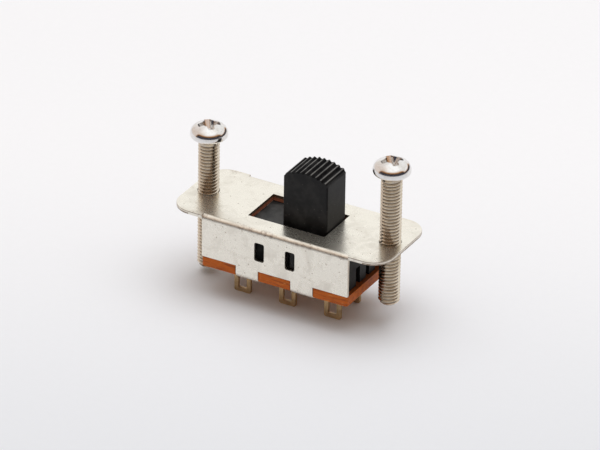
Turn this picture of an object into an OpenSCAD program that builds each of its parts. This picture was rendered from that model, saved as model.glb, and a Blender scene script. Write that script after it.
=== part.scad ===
// Panel-mount slide switch, two poles and two positions, with six solder lugs.
// X runs along the slide, Y across it and Z up. The origin is under the middle
// of the switch, level with the ends of the solder lugs.

/* [Frame] */
// Distance between the two ear holes
hole_pitch = 28.6; // [28:0.1:32]
// Distance from a hole's middle to the end of its ear
ear_margin = 2.55; // [2.4:0.05:4]
// Width across the outer faces of the side walls
frame_w = 13.5; // [13:0.1:16]
// Length of the folded side walls
wall_len = 22.9; // [22:0.1:25]
// Height from the plate's top face to the walls' lower edges
wall_h = 6.4; // [6.2:0.1:8]
// Thickness of the sheet steel
sheet_t = 0.5; // [0.4:0.05:0.6]
// Inside radius of the fold between plate and wall
fold_r = 0.2; // [0.1:0.05:0.3]
// Radius in the corner between a wall's end and the ear
notch_r = 0.25; // [0.1:0.05:0.4]
// Corner radius of the ears
ear_corner_r = 3.2; // [2:0.1:4]

/* [Windows] */
// Width of a detent window along the wall
window_w = 1.5; // [1.4:0.1:1.7]
// Height of a detent window
window_h = 2.8; // [2.4:0.1:3.2]
// Depth of the windows' upper edges below the plate's top face
window_drop = 1.95; // [1.7:0.05:2.2]
// Corner radius of a window
window_corner_r = 0.3; // [0.1:0.05:0.4]

/* [Crimp tabs] */
// Width of a crimp tab
tab_w = 3.5; // [2.5:0.1:4]
// Distance from the middle of the wall to the middle of a tab
tab_x = 4.3; // [3.5:0.1:5.5]
// Inside radius of the bend that wraps a tab under the base
tab_bend_r = 0.4; // [0.3:0.05:0.5]
// Length of the part of a tab that lies flat under the base
tab_flap = 1.1; // [0.8:0.1:1.4]

/* [Base and liner] */
// Thickness of the terminal board
base_t = 1.45; // [1.2:0.05:2]
// Corner radius of the terminal board
base_corner_r = 0.4; // [0.2:0.1:0.8]
// Thickness of the insulating liner under the plate
liner_t = 0.45; // [0.3:0.05:0.6]
// Distance from the end of the walls to the end of the liner
liner_inset = 0.15; // [0.1:0.05:0.5]

/* [Terminals] */
// Distance between neighbouring terminals along a row
terminal_pitch = 7.1; // [6.8:0.1:7.6]
// Distance between the two rows of terminals
row_pitch = 5.4; // [5:0.1:6]
// Thickness of the terminal strip
terminal_t = 0.5; // [0.4:0.05:0.6]
// Width of the blade inside the switch
blade_w = 2; // [1.6:0.1:2.3]
// Height of the blade above the terminal board
blade_h = 2.1; // [1.8:0.1:2.2]
// Chamfer at the top corners of the blade
blade_chamfer = 0.3; // [0.1:0.05:0.5]
// Width of a solder lug
lug_w = 2.6; // [2.5:0.1:3]
// Length of a solder lug below the terminal board
lug_len = 4.85; // [4.5:0.05:6]
// Radius of the lug's lower corners
lug_corner_r = 0.3; // [0.1:0.05:0.5]
// Width of the wire eye in a lug
eye_w = 1.3; // [1:0.1:1.5]
// Height of the wire eye
eye_h = 2.7; // [2:0.1:3]
// Metal left below the wire eye
eye_rim = 0.6; // [0.5:0.05:1]

/* [Slider] */
// Distance the slider moves between its two rest positions
travel = 4.8; // [4.6:0.1:5.2]
// Length of the finger grip
knob_len = 6.9; // [6.6:0.1:7.2]
// Width of the finger grip
knob_w = 5.3; // [4.5:0.1:6]
// Height of the grip's crown above the mounting plate
knob_h = 8.4; // [6:0.1:10]
// Drop from the crown to the grip's ends
knob_crown = 1; // [0.8:0.1:1.4]
// Radius of the grip's upright edges
knob_edge_r = 0.25; // [0.1:0.05:0.5]
// Number of ribs across the crown
rib_count = 9; // [7:1:9]
// Distance between neighbouring ribs
rib_pitch = 0.79; // [0.6:0.01:0.79]
// Depth of the valleys between the ribs
rib_h = 0.25; // [0.15:0.05:0.3]
// Width of the narrow crest of a rib
rib_crest = 0.1; // [0.06:0.01:0.2]
// Width of the flat bottom between two ribs
rib_valley = 0.07; // [0.04:0.01:0.15]
// Width of the two grooves that run over the terminals
groove_w = 1.1; // [1.05:0.05:1.3]
// Height of the grooves above the carriage's underside
groove_h = 2.65; // [2.6:0.05:2.8]
// Width of the channel along the carriage's middle
channel_w = 0.9; // [0.6:0.1:1.2]
// How far the carriage still covers the end of the plate's slot
slot_lap = 0.07; // [0.05:0.01:0.2]

/* [Contact clips] */
// Thickness of the clips' spring strip
clip_t = 0.2; // [0.15:0.01:0.22]
// Depth of the clips' legs below their web
clip_leg = 2.05; // [1.5:0.05:2.1]
// How far a clip reaches past the middle of the outer terminal
clip_overrun = 0.13; // [0.1:0.01:0.5]
// Diameter of the moulded peg that holds a clip
peg_d = 0.5; // [0.4:0.05:0.55]
// Length of the peg
peg_len = 0.32; // [0.25:0.01:0.36]

/* [Detent] */
// Width of a plunger's nose along the slide
nose_w = 1.3; // [1.1:0.1:1.3]
// Height of a plunger's nose
nose_h = 2.6; // [2.2:0.1:2.7]
// Length of a plunger's nose, front to back
nose_t = 0.85; // [0.75:0.05:1]
// Diameter of a plunger's stem
stem_d = 1.3; // [1.2:0.05:1.4]
// Length of a plunger's stem behind the nose
stem_len = 1.1; // [0.8:0.1:1.4]
// Diameter of the spigot that centres the spring
spigot_d = 0.7; // [0.6:0.05:0.75]
// Length of the spigot
spigot_len = 0.5; // [0.4:0.1:0.8]
// Mean diameter of the detent spring
spring_d = 1.05; // [1:0.01:1.1]
// Wire diameter of the detent spring
wire_d = 0.2; // [0.15:0.01:0.22]
// Number of open coils in the spring
spring_coils = 9; // [6:1:12]
// Plastic left between the contact grooves and the detent bore
bore_floor = 0.35; // [0.3:0.05:0.5]

/* [Screws] */
// Outside diameter of the screw thread
screw_d = 3; // [2.5:0.1:3.2]
// Rise of the thread in one turn
thread_pitch = 0.5; // [0.35:0.05:0.6]
// Length of the screws under their heads
screw_len = 20; // [16:0.5:20]
// Plain length between the head and the thread, at least
neck_len = 0.3; // [0.2:0.1:1]
// Chamfer at the screws' tips
tip_chamfer = 0.4; // [0.2:0.05:0.5]
// Diameter of the pan heads
head_d = 5.3; // [5:0.1:6]
// Height of the pan heads
head_h = 2.2; // [2:0.05:2.4]
// Radius between a head's side and its dome
head_side_r = 1.25; // [0.9:0.05:1.3]
// Height at which the heads are widest
head_mid = 0.55; // [0.55:0.05:0.65]
// Radius between a head's side and its underside
head_under_r = 0.45; // [0.2:0.05:0.5]
// Reach of the cross recess's wings from the screw's axis
recess_r = 1.8; // [1.4:0.05:1.9]
// Reach of the recess between its wings
recess_core_r = 1.05; // [0.6:0.05:1.2]
// Width of the cross recess's wings
recess_w = 0.95; // [0.6:0.05:1]
// Depth of the cross recess
recess_depth = 1.35; // [1:0.05:1.5]
// Height of the left head's underside above the plate
left_lift = 8.3; // [7.5:0.1:12]
// Height of the right head's underside above the plate
right_lift = 10.6; // [7.5:0.1:12]
// Turn of the left screw's recess about its axis
left_turn = 42; // [0:1:89]
// Turn of the right screw's recess about its axis
right_turn = 50; // [0:1:89]

/* [Clearances] */
// Gap between each end of the plate's slot and the grip at rest
knob_end_gap = 0.15; // [0.1:0.01:0.3]
// Gap between each side of the plate's slot and the grip
knob_side_gap = 0.86; // [0.3:0.02:1]
// Gap on each side of the carriage
side_gap = 0.12; // [0.08:0.01:0.2]
// Gap between the liner's long edges and the folds
liner_gap = 0.025; // [0.02:0.005:0.1]
// Gap above the carriage
top_gap = 0.1; // [0.05:0.01:0.2]
// Gap below the carriage
bottom_gap = 0.05; // [0.03:0.01:0.1]
// Gap on each side of a terminal in the board
slot_gap = 0.03; // [0.02:0.01:0.06]
// Gap between the crimp tabs and their notches
tab_gap = 0.08; // [0.05:0.01:0.15]
// Gap between a clip and its groove, and between its hole and the peg
clip_gap = 0.05; // [0.03:0.01:0.06]
// Gap around a plunger, in its bore and its pocket
plunger_gap = 0.05; // [0.03:0.01:0.1]
// Gap between a plunger's nose and the wall
nose_gap = 0.02; // [0.01:0.01:0.05]
// Radial gap between a screw and its ear hole
screw_gap = 0.05; // [0.03:0.01:0.08]

/* [Hidden] */
$fn = 64;
eps = 0.5;

// Levels, from the lug ends up
base_bottom_z = lug_len;
base_top_z = base_bottom_z + base_t;
plate_z = base_top_z + wall_h;
sheet_z = plate_z - sheet_t;
liner_z = sheet_z - liner_t;
carriage_z = base_top_z + bottom_gap;
carriage_top_z = liner_z - top_gap;
window_z = plate_z - window_drop - window_h / 2;
groove_top_z = carriage_z + groove_h;
bore_r = stem_d / 2 + plunger_gap;
bore_z = groove_top_z + bore_floor + bore_r;

// Thread: the groove's depth and half its width, with flanks at 60 degrees
thread_depth = 0.6 * thread_pitch;
thread_flank = thread_depth * tan(30);
recess_foot_r = 0.43 * recess_r;

// Plan sizes
plate_len = hole_pitch + 2 * ear_margin;
inner_w = frame_w - 2 * sheet_t;
knob_slot_len = knob_len + travel + 2 * knob_end_gap;
knob_slot_w = knob_w + 2 * knob_side_gap;
liner_w = inner_w - 2 * (fold_r + liner_gap);
liner_len = wall_len - 2 * liner_inset;
carriage_len = knob_slot_len + travel + 2 * slot_lap;
carriage_w = inner_w - 2 * side_gap;
rest_x = travel / 2;
clip_len = 2 * (terminal_pitch - travel / 2 + clip_overrun);
clip_w = groove_w - 2 * clip_gap;
pocket_depth = nose_t - (side_gap - nose_gap) + plunger_gap;
nose_y = inner_w / 2 - nose_gap;
stem_y = nose_y - nose_t;
seat_y = stem_y - stem_len;

// A rectangle with round corners, centred on the origin
module rounded_rect(length, width, radius) {
    square([length - 2 * radius, width], center = true);
    square([length, width - 2 * radius], center = true);
    for (x = [-1, 1], y = [-1, 1])
        translate([x * (length / 2 - radius), y * (width / 2 - radius)])
            circle(r = radius);
}

// Extrudes a section drawn in Y and Z along X, centred on X = 0
module along_x(length) {
    rotate([90, 0, 90])
        linear_extrude(length, center = true)
            children();
}

// Extrudes an outline drawn in X and Z along Y, centred on Y = 0
module along_y(length) {
    rotate([90, 0, 0])
        linear_extrude(length, center = true)
            children();
}

// A block that stands on the origin with its top corners rounded
module arch_section(width, height, radius) {
    translate([-width / 2, 0])
        square([width, height - radius]);
    translate([-width / 2 + radius, 0])
        square([width - 2 * radius, height]);
    for (y = [-1, 1])
        translate([y * (width / 2 - radius), height - radius])
            circle(r = radius);
}

// The plate and both walls, folded from one sheet
module folded_section() {
    translate([0, base_top_z])
        difference() {
            arch_section(frame_w, wall_h, fold_r + sheet_t);
            translate([0, -eps])
                arch_section(inner_w, wall_h - sheet_t + eps, fold_r);
        }
}

// Both flat ears, outside the length of the walls
module ears() {
    translate([0, 0, sheet_z])
        linear_extrude(sheet_t)
            difference() {
                rounded_rect(plate_len, frame_w, ear_corner_r);
                square([wall_len, frame_w + 2 * eps], center = true);
            }
}

// The small radius where a wall's end meets the ear's underside
module notch_fillets() {
    for (x = [-1, 1], y = [-1, 1])
        translate([x * wall_len / 2, y * (frame_w - sheet_t) / 2, sheet_z])
            scale_x(x)
                along_y(sheet_t)
                    difference() {
                        translate([0, -notch_r])
                            square(notch_r);
                        translate([notch_r, -notch_r])
                            circle(r = notch_r);
                    }
}

// Mirrors its children to the other side of X = 0 when the side is negative
module scale_x(side) {
    mirror([side < 0 ? 1 : 0, 0, 0])
        children();
}

// Mirrors its children to the other side of Y = 0 when the side is negative
module scale_y(side) {
    mirror([0, side < 0 ? 1 : 0, 0])
        children();
}

// A crimp tab on the +Y wall: down past the base, round a bend and under it
module tab_section() {
    outer_r = tab_bend_r + sheet_t;
    bend_y = frame_w / 2 - outer_r;
    bend_z = base_bottom_z + tab_bend_r;
    translate([frame_w / 2 - sheet_t, bend_z])
        square([sheet_t, base_top_z - bend_z]);
    translate([bend_y, bend_z])
        intersection() {
            difference() {
                circle(r = outer_r);
                circle(r = tab_bend_r);
            }
            translate([0, -outer_r])
                square(outer_r);
        }
    translate([bend_y - tab_flap, base_bottom_z - sheet_t])
        square([tab_flap, sheet_t]);
}

module window_cut() {
    linear_extrude(frame_w + 2 * eps, center = true)
        rounded_rect(window_w, window_h, window_corner_r);
}

// The sheet-steel frame: mounting plate, side walls, windows and crimp tabs
module frame() {
    color("silver")
    difference() {
        union() {
            ears();
            along_x(wall_len)
                folded_section();
            notch_fillets();
            for (x = [-1, 1], y = [-1, 1])
                translate([x * tab_x, 0, 0])
                    scale_y(y)
                        along_x(tab_w)
                            tab_section();
        }
        translate([0, 0, sheet_z - eps])
            linear_extrude(sheet_t + 2 * eps)
                square([knob_slot_len, knob_slot_w], center = true);
        for (x = [-1, 1]) {
            translate([x * hole_pitch / 2, 0, sheet_z - eps])
                cylinder(h = sheet_t + 2 * eps, r = screw_d / 2 + screw_gap);
            translate([x * travel / 2, 0, window_z])
                rotate([90, 0, 0])
                    window_cut();
        }
    }
}

// The insulating liner that lies under the plate
module liner() {
    color("saddlebrown")
    translate([0, 0, liner_z])
        linear_extrude(liner_t)
            difference() {
                square([liner_len, liner_w], center = true);
                square([knob_slot_len, knob_slot_w], center = true);
            }
}

// The terminal board, notched for the crimp tabs and slotted for the terminals
module base() {
    notch = [tab_w + 2 * tab_gap, tab_bend_r + sheet_t];
    slot = [blade_w + 2 * slot_gap, terminal_t + 2 * slot_gap];
    color("chocolate")
    translate([0, 0, base_bottom_z])
        linear_extrude(base_t)
            difference() {
                rounded_rect(wall_len, frame_w, base_corner_r);
                for (x = [-1, 1], y = [-1, 1])
                    translate([x * tab_x, y * (frame_w - notch[1]) / 2])
                        square(notch + [0, 0.001], center = true);
                for (x = [-1:1], y = [-1, 1])
                    translate([x * terminal_pitch, y * row_pitch / 2])
                        square(slot, center = true);
            }
}

// The outline of a terminal: solder lug below, contact blade above
module terminal_outline() {
    blade_top = base_top_z + blade_h;
    difference() {
        union() {
            translate([-lug_w / 2, lug_corner_r])
                square([lug_w, lug_len - lug_corner_r]);
            translate([-lug_w / 2 + lug_corner_r, 0])
                square([lug_w - 2 * lug_corner_r, lug_len]);
            for (x = [-1, 1])
                translate([x * (lug_w / 2 - lug_corner_r), lug_corner_r])
                    circle(r = lug_corner_r);
            polygon([
                [-blade_w / 2, lug_len - eps],
                [blade_w / 2, lug_len - eps],
                [blade_w / 2, blade_top - blade_chamfer],
                [blade_w / 2 - blade_chamfer, blade_top],
                [-blade_w / 2 + blade_chamfer, blade_top],
                [-blade_w / 2, blade_top - blade_chamfer]
            ]);
        }
        translate([-eye_w / 2, eye_rim])
            square([eye_w, eye_h]);
    }
}

// One terminal: column -1, 0 or 1 along X, row -1 for the front and 1 for the rear
module terminal(column, row) {
    color("darkkhaki")
    translate([column * terminal_pitch, row * row_pitch / 2, 0])
        along_y(terminal_t)
            terminal_outline();
}

// Half the section of a pan head, from the screw's axis outwards
module head_section() {
    head_r = head_d / 2;
    side_x = head_r - head_side_r;
    rise = head_mid - head_h;
    dome_r = (pow(head_side_r, 2) - pow(side_x, 2) - pow(rise, 2))
        / (2 * (head_side_r + rise));
    meet_x = side_x * dome_r / (dome_r - head_side_r);
    intersection() {
        translate([0, head_h - dome_r])
            circle(r = dome_r, $fn = 180);
        translate([0, head_mid])
            square([meet_x, head_h]);
    }
    intersection() {
        translate([side_x, head_mid])
            circle(r = head_side_r);
        translate([0, head_mid])
            square([head_r, head_side_r]);
    }
    translate([head_r - head_under_r, head_under_r])
        circle(r = head_under_r);
    translate([0, head_under_r])
        square([head_r, head_mid - head_under_r]);
    square([head_r - head_under_r, head_mid]);
}

// Half the section of the threaded shank, from inside the head to the chamfered
// tip. Level grooves, one to each turn, stand for the thread's helix.
module shank_section() {
    crest_r = screw_d / 2;
    start_z = tip_chamfer - screw_len;
    turns = floor((screw_len - tip_chamfer - neck_len) / thread_pitch);
    polygon([
        [0, head_under_r],
        [0, -screw_len],
        [crest_r - tip_chamfer, -screw_len],
        [crest_r, start_z],
        for (turn = [1:turns])
            let (groove_z = start_z + (turn - 0.5) * thread_pitch)
            each [
                [crest_r, groove_z - thread_flank],
                [crest_r - thread_depth, groove_z],
                [crest_r, groove_z + thread_flank]
            ],
        [crest_r, head_under_r]
    ]);
}

// The cross recess: a cone and two crossed wings that narrow towards the bottom
module cross_recess() {
    translate([0, 0, head_h - recess_depth])
        cylinder(h = recess_depth, r1 = recess_w / 2, r2 = recess_core_r);
    intersection() {
        translate([0, 0, head_h - recess_depth])
            cylinder(h = recess_depth, r1 = recess_foot_r, r2 = recess_r);
        translate([0, 0, head_h - recess_depth / 2])
            union() {
                cube([2 * recess_r, recess_w, recess_depth], center = true);
                cube([recess_w, 2 * recess_r, recess_depth], center = true);
            }
    }
}

// One screw, threaded down through its ear: side -1 is left and 1 is right
module screw(side, lift, turn) {
    color("lightgray")
    translate([side * hole_pitch / 2, 0, plate_z + lift])
        difference() {
            union() {
                rotate_extrude()
                    head_section();
                rotate_extrude()
                    shank_section();
            }
            rotate([0, 0, turn])
                cross_recess();
        }
}

// One rib of the crown, drawn upright about the arch's middle: sloping flanks
// from inside the core up to a narrow crest
module rib_outline(core_r, arch_r) {
    foot = (rib_pitch - rib_valley) / 2;
    polygon([
        [-foot, core_r / 2],
        [-foot, core_r],
        [-rib_crest / 2, arch_r],
        [rib_crest / 2, arch_r],
        [foot, core_r],
        [foot, core_r / 2]
    ]);
}

// The side view of the grip: an arch whose crown carries the ribs
module knob_outline() {
    half = knob_len / 2;
    arch_r = (pow(half, 2) + pow(knob_crown, 2)) / (2 * knob_crown);
    arch_z = plate_z + knob_h - arch_r;
    core_r = arch_r - rib_h;
    core_z = arch_z + sqrt(pow(core_r, 2) - pow(half, 2));
    translate([-half, carriage_top_z - eps])
        square([knob_len, core_z - carriage_top_z + eps]);
    intersection() {
        translate([0, arch_z])
            circle(r = core_r, $fn = 180);
        translate([-half, core_z])
            square([knob_len, arch_r]);
    }
    intersection() {
        for (i = [0:rib_count - 1])
            translate([0, arch_z])
                rotate((i - (rib_count - 1) / 2) * rib_pitch / arch_r * 180 / PI)
                    rib_outline(core_r, arch_r);
        translate([-half, arch_z])
            square([knob_len, arch_r]);
    }
}

// The finger grip that stands up through the plate's slot
module knob() {
    intersection() {
        along_y(knob_w)
            knob_outline();
        translate([0, 0, carriage_top_z - eps])
            linear_extrude(plate_z + knob_h + eps)
                rounded_rect(knob_len, knob_w, knob_edge_r);
    }
}

// Everything cut out of the carriage for the contacts and the detent
module carriage_cuts() {
    groove_z = (carriage_z - eps + groove_top_z) / 2;
    groove_tall = groove_top_z - carriage_z + eps;
    pocket = [
        nose_w + 2 * plunger_gap,
        2 * pocket_depth,
        nose_h + 2 * plunger_gap
    ];
    for (y = [-1, 1]) {
        translate([0, y * row_pitch / 2, groove_z])
            cube([carriage_len + 2 * eps, groove_w, groove_tall], center = true);
        translate([0, y * carriage_w / 2, window_z])
            cube(pocket, center = true);
    }
    translate([0, 0, groove_z])
        cube([carriage_len + 2 * eps, channel_w, groove_tall], center = true);
    translate([0, 0, bore_z])
        rotate([90, 0, 0])
            cylinder(h = carriage_w + 2 * eps, r = bore_r, center = true);
}

// The moulded slider: grip, carriage and the pegs that hold the clips
module slider() {
    carriage_mid_z = (carriage_z + carriage_top_z) / 2;
    carriage_h = carriage_top_z - carriage_z;
    color("dimgray")
    translate([rest_x, 0, 0]) {
        difference() {
            union() {
                translate([0, 0, carriage_mid_z])
                    cube([carriage_len, carriage_w, carriage_h], center = true);
                knob();
            }
            carriage_cuts();
        }
        for (y = [-1, 1])
            translate([0, y * row_pitch / 2, groove_top_z - peg_len])
                cylinder(h = peg_len + bore_floor / 2, d = peg_d, $fn = 32);
    }
}

// A contact clip: a springy channel that straddles two terminals of one row
module contact_clip(row) {
    color("peru")
    translate([rest_x, row * row_pitch / 2, 0])
        difference() {
            along_x(clip_len)
                translate([0, groove_top_z - clip_t - clip_leg])
                    difference() {
                        translate([-clip_w / 2, 0])
                            square([clip_w, clip_t + clip_leg]);
                        translate([-clip_w / 2 + clip_t, -eps])
                            square([clip_w - 2 * clip_t, clip_leg + eps]);
                    }
            translate([0, 0, groove_top_z - clip_t - eps])
                cylinder(h = clip_t + 2 * eps, d = peg_d + 2 * clip_gap, $fn = 32);
        }
}

// The plan of a plunger's nose: flat behind, round in front, facing +Y
module nose_outline() {
    round_r = nose_w / 2;
    intersection() {
        translate([-nose_w / 2, -nose_t])
            square([nose_w, nose_t]);
        union() {
            translate([0, -round_r])
                circle(r = round_r, $fn = 32);
            translate([-nose_w / 2, -nose_t])
                square([nose_w, nose_t - round_r]);
        }
    }
}

// A detent plunger: row -1 faces the front wall and 1 the rear wall
module detent_plunger(row) {
    color("black")
    translate([rest_x, 0, 0])
        scale_y(row) {
            translate([0, nose_y, window_z - nose_h / 2])
                linear_extrude(nose_h)
                    nose_outline();
            translate([0, stem_y + eps / 2, bore_z])
                rotate([90, 0, 0])
                    cylinder(h = stem_len + eps / 2, d = stem_d);
            translate([0, seat_y + eps / 2, bore_z])
                rotate([90, 0, 0])
                    cylinder(h = spigot_len + eps / 2, d = spigot_d, $fn = 32);
        }
}

// Distance along the spring after a number of turns: closed end coils, open middle
function spring_reach(turn, turns, pitch) =
    turn < 1 ? wire_d * turn
    : turn < turns - 1 ? wire_d + (turn - 1) * pitch
    : wire_d + (turns - 2) * pitch + (turn - turns + 1) * wire_d;

// The coil spring between the plungers, its ends squared against their stems
module detent_spring() {
    steps = 14;
    sides = 8;
    turns = spring_coils + 2;
    free = 2 * seat_y - 3 * wire_d;
    pitch = free / spring_coils;
    rings = turns * steps;
    points = [
        for (i = [0:rings], k = [0:sides - 1])
            let (
                swing = 360 * i / steps,
                around = 360 * k / sides,
                reach = spring_d / 2 + wire_d / 2 * cos(around),
                along = wire_d / 2 + spring_reach(i / steps, turns, pitch)
            )
            [
                reach * cos(swing),
                along - seat_y + wire_d / 2 * sin(around),
                reach * sin(swing)
            ]
    ];
    skin = [
        for (i = [0:rings - 1], k = [0:sides - 1])
            let (next = (k + 1) % sides)
            [
                i * sides + k,
                i * sides + next,
                (i + 1) * sides + next,
                (i + 1) * sides + k
            ]
    ];
    first = [for (k = [0:sides - 1]) sides - 1 - k];
    last = [for (k = [0:sides - 1]) rings * sides + k];
    color("gray")
    translate([rest_x, 0, bore_z])
        polyhedron(points, concat(skin, [first, last]), convexity = 10);
}

frame();
liner();
base();
terminal(-1, -1);  // terminal_front_left
terminal(0, -1);  // terminal_front_centre
terminal(1, -1);  // terminal_front_right
terminal(-1, 1);  // terminal_rear_left
terminal(0, 1);  // terminal_rear_centre
terminal(1, 1);  // terminal_rear_right
screw(-1, left_lift, left_turn);  // screw_left
screw(1, right_lift, right_turn);  // screw_right
slider();
contact_clip(-1);  // contact_clip_front
contact_clip(1);  // contact_clip_rear
detent_plunger(-1);  // detent_plunger_front
detent_plunger(1);  // detent_plunger_rear
detent_spring();
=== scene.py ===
"""Slide switch with six solder lugs: its finished look, built around the fixed frame.

X runs along the slide, Y across it and Z up, all in metres. Each piece is made in
place, with its object at the origin, and rides on the body "case" or "slider".
"""

import math

import bmesh
import bpy
from bpy.props import (
    FloatProperty,
    FloatVectorProperty,
    IntProperty,
    PointerProperty,
)
from bpy.types import NodeSocket, Operator, Panel, PropertyGroup
from mathutils import Matrix, Vector


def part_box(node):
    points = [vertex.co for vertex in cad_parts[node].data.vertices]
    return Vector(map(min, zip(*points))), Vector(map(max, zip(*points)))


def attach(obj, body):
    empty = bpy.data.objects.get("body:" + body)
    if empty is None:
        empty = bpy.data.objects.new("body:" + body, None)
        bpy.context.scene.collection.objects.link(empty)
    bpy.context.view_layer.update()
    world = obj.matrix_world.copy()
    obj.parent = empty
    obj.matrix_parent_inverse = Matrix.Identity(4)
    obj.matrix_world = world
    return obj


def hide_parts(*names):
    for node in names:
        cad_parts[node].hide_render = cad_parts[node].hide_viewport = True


bl_info = {
    "name": "Slide switch",
    "version": (1, 0, 0),
    "blender": (4, 5, 0),
    "location": "3D View > Sidebar > Slide switch",
    "description": "Builds the finished look of a panel-mount slide switch",
    "category": "Object",
}

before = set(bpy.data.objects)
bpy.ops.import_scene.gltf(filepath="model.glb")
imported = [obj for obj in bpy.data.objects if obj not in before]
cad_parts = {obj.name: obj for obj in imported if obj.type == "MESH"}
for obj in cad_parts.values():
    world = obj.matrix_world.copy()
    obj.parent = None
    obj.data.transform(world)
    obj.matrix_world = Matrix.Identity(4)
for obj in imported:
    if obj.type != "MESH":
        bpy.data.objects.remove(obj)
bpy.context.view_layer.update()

TERMINALS = [
    f"terminal_{row}_{column}"
    for row in ("front", "rear")
    for column in ("left", "centre", "right")
]
SCREWS = ("screw_left", "screw_right")
BLACK, WHITE = (0, 0, 0, 1), (1, 1, 1, 1)

# Points nearer than WELD are one point. Faces that turn less than FLAT are one face,
# and edges that turn more than SHARP look sharp. A face of more than BROAD square
# metres is shaded flat. A face nearer than ON_SKIN to a skin of the sheet lies on it,
# and a mask that follows the plate starts JUST_BELOW it.
WELD = 1e-6
FLAT = math.radians(0.2)
SHARP = math.radians(30)
BROAD = 5e-6
ON_SKIN = 2e-5
JUST_BELOW = 1e-4


# ---------------------------------------------------------------- settings


def length(name, text, value, low=0.0, high=0.05):
    """A size in metres that a user can change."""
    return FloatProperty(
        name=name, description=text, default=value, min=low, max=high,
        unit="LENGTH", precision=6,
    )


def angle(name, text, degrees):
    """An angle that a user can change."""
    return FloatProperty(
        name=name, description=text, default=math.radians(degrees), unit="ROTATION"
    )


def share(name, text, value, high=1.0):
    """A plain number that a user can change."""
    return FloatProperty(name=name, description=text, default=value, min=0, max=high)


def colour(name, text, *rgb):
    """A colour that a user can change."""
    return FloatVectorProperty(
        name=name, description=text, default=(*rgb, 1.0), size=4, min=0, max=1,
        subtype="COLOR",
    )


def point(name, text, *xyz):
    """A place in metres that a user can change."""
    return FloatVectorProperty(
        name=name, description=text, default=xyz, size=3, unit="LENGTH",
        subtype="TRANSLATION", precision=5,
    )


class SwitchSizes(PropertyGroup):
    """Sizes of the small forms that dress the frame, and shares of wear."""

    sheet_round: length("Sheet edge", "Rounding of the stamped sheet's edges", 6e-5)
    notch_reach: length("Notch reach", "Reach of the notches by the folds", 2.7e-4)
    fold_reach: length("Fold reach", "Width of the dull band along the folds", 9e-4)
    burr_reach: length("Burr reach", "Height of the lines along a cut edge", 1.6e-4)
    slot_length: length("Slot length", "Length of the plate's slot", 12.0e-3)
    slot_width: length("Slot width", "Width of the plate's slot", 7.02e-3)
    board_round: length("Board edge", "Rounding of the board's punched edges", 5e-5)
    lug_round: length("Lug edge", "Rounding of the stamped lugs' edges", 5e-5)
    moulded_round: length("Moulded edge", "Rounding of the slider's edges", 3e-5)
    thread_radius: length("Thread radius", "Radius over the thread's crests", 1.5e-3)
    thread_pitch: length("Thread pitch", "Rise of the thread in one turn", 5e-4)
    thread_depth: length("Thread depth", "Depth of the thread's groove", 3e-4)
    thread_steps: IntProperty(
        name="Thread steps", description="Steps in one turn of the thread",
        default=48, min=16, max=96,
    )
    head_steps: IntProperty(
        name="Head steps", description="Steps round a screw's head",
        default=72, min=24, max=144,
    )
    screw_length: length("Screw length", "Length under the head", 0.02)
    tip_chamfer: length("Tip chamfer", "Chamfer at the screws' tips", 4e-4)
    neck_radius: length("Neck radius", "Radius of the plain neck", 1.4e-3)
    neck_length: length("Neck length", "Plain length under the head", 3e-4)
    head_height: length("Head height", "Height of the pan heads", 2.2e-3)
    head_middle: length("Head middle", "Height at which the heads are widest", 5.5e-4)
    head_side: length("Head side", "Radius between side and dome", 1.25e-3)
    head_under: length("Head under", "Radius between side and underside", 4.5e-4)
    recess_reach: length("Recess reach", "Reach of the recess's wings", 1.8e-3)
    recess_core: length("Recess core", "Reach between the wings", 1.05e-3)
    recess_width: length("Recess width", "Width of the recess's wings", 9.5e-4)
    recess_depth: length("Recess depth", "Depth of the cross recess", 1.35e-3)
    left_turn: angle("Left turn", "Turn of the left screw's recess", 42)
    right_turn: angle("Right turn", "Turn of the right screw's recess", 50)
    crown_drop: length("Crown drop", "Drop from the grip's crown to its ends", 1e-3)
    grip_length: length("Grip length", "Length of the finger grip", 6.9e-3)
    rib_depth: length("Rib depth", "Depth of the valleys between the ribs", 2.5e-4)
    # Wear on the crests, with a painted highlight.
    rubbing_and_highlight: share("Rubbing", "Share of wear on the ribs' crests", 0.55)
    # Dust and painted sheen: how much the slider is lightened below the plate.
    dust: share("Dust", "Share of dust on the slider below the plate", 0.06)
    # Dirt and painted shade: how dark the thread's root is painted.
    grime_and_shade: share("Grime", "Share of grime at the thread's root", 0.6)


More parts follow.
